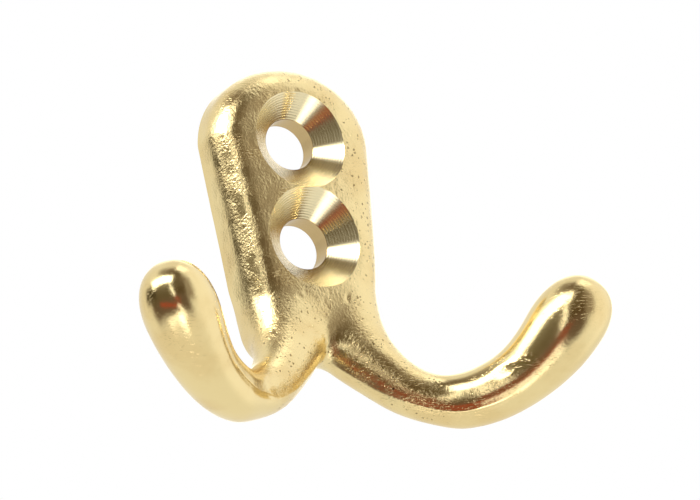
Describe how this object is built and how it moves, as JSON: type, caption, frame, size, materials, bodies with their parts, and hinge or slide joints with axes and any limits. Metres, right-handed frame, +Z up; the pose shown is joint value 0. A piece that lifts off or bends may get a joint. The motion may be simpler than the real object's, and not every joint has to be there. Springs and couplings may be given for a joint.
{
  "type": "ramshorn hook",
  "caption": "Small cast wall hook: a flat-backed plate countersunk for wood screws, parting below into thick, rounded, upturned horns.",
  "frame": {"origin": "on the flat back face, midway between the two screw holes", "axes": "+X to the right seen from the front, from horn to horn; +Y into the wall, so the front faces -Y; +Z up"},
  "size_m": [0.046, 0.0171, 0.0345],
  "materials": {
    "cast_brass": "cast brass, tumbled and polished bright, countersinks left as turned"
  },
  "bodies": {
    "root": {"hook": "cast_brass"}
  },
  "joints": []
}
